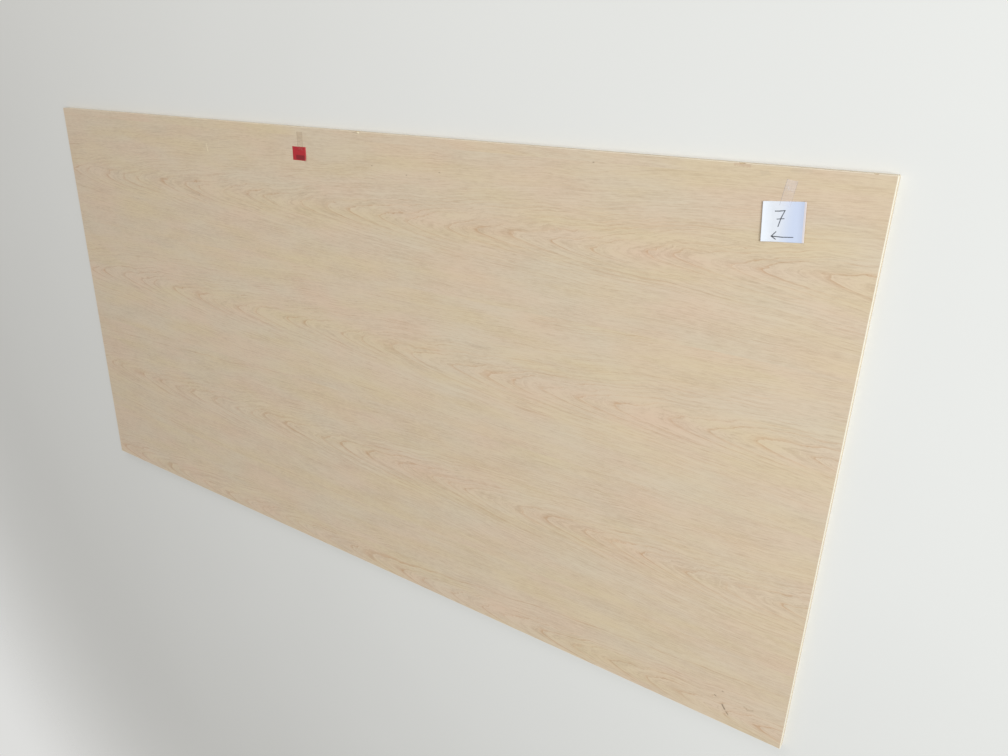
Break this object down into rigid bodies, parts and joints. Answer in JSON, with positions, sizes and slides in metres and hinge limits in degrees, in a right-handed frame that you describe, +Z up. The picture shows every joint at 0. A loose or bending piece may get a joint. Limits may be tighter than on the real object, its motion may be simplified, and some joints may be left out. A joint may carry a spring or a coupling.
{
  "type": "plywood sheet",
  "caption": "Full-size maple-faced plywood panel lying flat, with a small red slip and a curled white note taped to its upper face.",
  "frame": {"origin": "middle of the underside, on the surface that the sheet lies on", "axes": "+X along the sheet's length and face grain, +Y across the sheet towards the long edge with the slips, +Z up, out of the good face"},
  "size_m": [2.438, 1.219, 0.0224],
  "materials": {
    "maple_plywood": "satin",
    "red_paper": "matte",
    "white_paper": "matte",
    "clear_tape": "gloss"
  },
  "bodies": {
    "root": {"plywood_sheet": "maple_plywood", "red_slip": "red_paper", "red_slip_tape": "clear_tape", "white_note": "white_paper", "white_note_tape": "clear_tape"}
  },
  "joints": []
}
